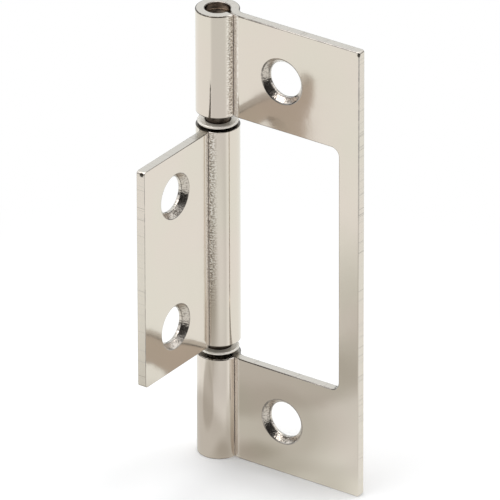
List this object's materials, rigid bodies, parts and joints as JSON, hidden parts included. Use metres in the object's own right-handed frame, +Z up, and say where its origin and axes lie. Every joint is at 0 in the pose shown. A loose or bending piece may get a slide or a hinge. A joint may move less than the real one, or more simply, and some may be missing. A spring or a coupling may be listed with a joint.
{
  "type": "flush hinge",
  "caption": "Nested-leaf surface hinge: a small leaf folds into a window in the large leaf, both rolled round one pin, with countersunk screw holes.",
  "frame": {"origin": "on the large leaf's back face, in the middle of its rail, half way up the hinge", "axes": "+Z up along the pin; +X from the barrel to the large leaf's free edge; +Y out of the large leaf's back face, so the small leaf stands out towards -Y"},
  "size_m": [0.0302, 0.0239, 0.0762],
  "materials": {
    "nickel_plate": "stamped steel with smooth warm nickel plating",
    "bare_steel": "unplated steel, dull and darkened"
  },
  "bodies": {
    "large_leaf": {"large_leaf": "nickel_plate", "hinge_pin": "bare_steel", "upper_washer": "nickel_plate", "lower_washer": "nickel_plate"},
    "small_leaf": {"small_leaf": "nickel_plate"}
  },
  "joints": [
    {"name": "leaf_swing", "type": "hinge", "parent": "large_leaf", "child": "small_leaf", "pos_m": [-0.02482, -0.00075, 0], "axis": [0, 0, 1], "continuous": true}
  ]
}
